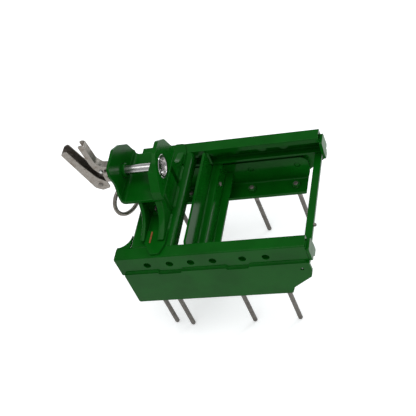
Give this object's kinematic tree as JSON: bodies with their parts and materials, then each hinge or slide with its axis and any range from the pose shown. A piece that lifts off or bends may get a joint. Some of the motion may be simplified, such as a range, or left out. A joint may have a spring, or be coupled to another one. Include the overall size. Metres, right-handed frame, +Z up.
{
  "type": "quick coupler",
  "caption": "Bolt-down coupler frame with two channel rails, a folded saddle and a pinned clevis whose pin pulls out by pliers-like grips.",
  "frame": {"origin": "on the mid-plane between the two mounting brackets, half-way along the rails, at the level of the brackets' undersides", "axes": "+X along the rails away from the clevis, +Y across to the far rail, +Z up from the mounting face"},
  "size_m": [0.7696, 0.5116, 0.7348],
  "materials": {
    "green_paint": "semi-gloss",
    "zinc_steel": "satin",
    "ground_steel": "polished",
    "bare_steel": "satin",
    "spring_steel": "oiled",
    "bronze": "worn"
  },
  "bodies": {
    "frame": {"anchor_bolt_1_far": "zinc_steel", "anchor_bolt_1_near": "zinc_steel", "anchor_bolt_2_far": "zinc_steel", "anchor_bolt_2_near": "zinc_steel", "anchor_bolt_3_far": "zinc_steel", "anchor_bolt_3_near": "zinc_steel", "anchor_bolt_4_far": "zinc_steel", "anchor_bolt_4_near": "zinc_steel", "bushing_thick": "ground_steel", "bushing_thin": "green_paint", "clevis_floor": "green_paint", "corner_gusset_far": "green_paint", "corner_gusset_near": "green_paint", "ear_thick": "green_paint", "ear_thin": "green_paint", "end_bar": "green_paint", "end_cap_far": "green_paint", "end_cap_near": "green_paint", "end_stop": "zinc_steel", "grease_nipple": "zinc_steel", "latch_keeper": "green_paint", "middle_screw_far": "zinc_steel", "middle_screw_near": "zinc_steel", "middle_web": "green_paint", "middle_z_bar": "green_paint", "mount_bracket_far": "green_paint", "mount_bracket_near": "green_paint", "pedestal": "green_paint", "ring_lug": "green_paint", "rub_strip": "bronze", "saddle": "green_paint", "saddle_rib_inner_far": "green_paint", "saddle_rib_inner_near": "green_paint", "saddle_rib_outer_far": "green_paint", "saddle_rib_outer_near": "green_paint", "saddle_strap_far": "green_paint", "saddle_strap_near": "green_paint", "side_plate_far": "green_paint", "side_plate_near": "green_paint", "side_rail_far": "green_paint", "side_rail_near": "green_paint", "washer_1_far": "zinc_steel", "washer_1_near": "zinc_steel", "washer_2_far": "zinc_steel", "washer_2_near": "zinc_steel", "washer_3_far": "zinc_steel", "washer_3_near": "zinc_steel", "washer_4_far": "zinc_steel", "washer_4_near": "zinc_steel"},
    "pin_set": {"coupling_pin": "ground_steel", "pin_collar": "ground_steel", "tail_block": "bare_steel", "roll_pin": "zinc_steel", "grip_pivot_pin": "zinc_steel", "trigger_pivot_pin": "ground_steel", "trigger_spring": "spring_steel"},
    "long_grip": {"long_grip": "bare_steel"},
    "short_grip": {"short_grip": "bare_steel"},
    "ring": {"drop_ring": "zinc_steel"}
  },
  "joints": [
    {"name": "pin_slide", "type": "slide", "parent": "frame", "child": "pin_set", "axis": [-1, 0, 0], "range_m": [0, 0.15]},
    {"name": "long_grip_hinge", "type": "hinge", "parent": "pin_set", "child": "long_grip", "pos_m": [-0.3675, 0, 0.345], "axis": [0, -1, 0], "range_deg": [-6, 40]},
    {"name": "short_grip_hinge", "type": "hinge", "parent": "pin_set", "child": "short_grip", "pos_m": [-0.3445, 0, 0.401], "axis": [0, -1, 0], "range_deg": [0, 13], "stiffness_Nm_per_rad": 1, "springref_deg": -22.92},
    {"name": "ring_swing", "type": "hinge", "parent": "frame", "child": "ring", "pos_m": [-0.316, 0, 0.304], "axis": [0.5, 0.866, 0], "range_deg": [-5, 60]}
  ]
}
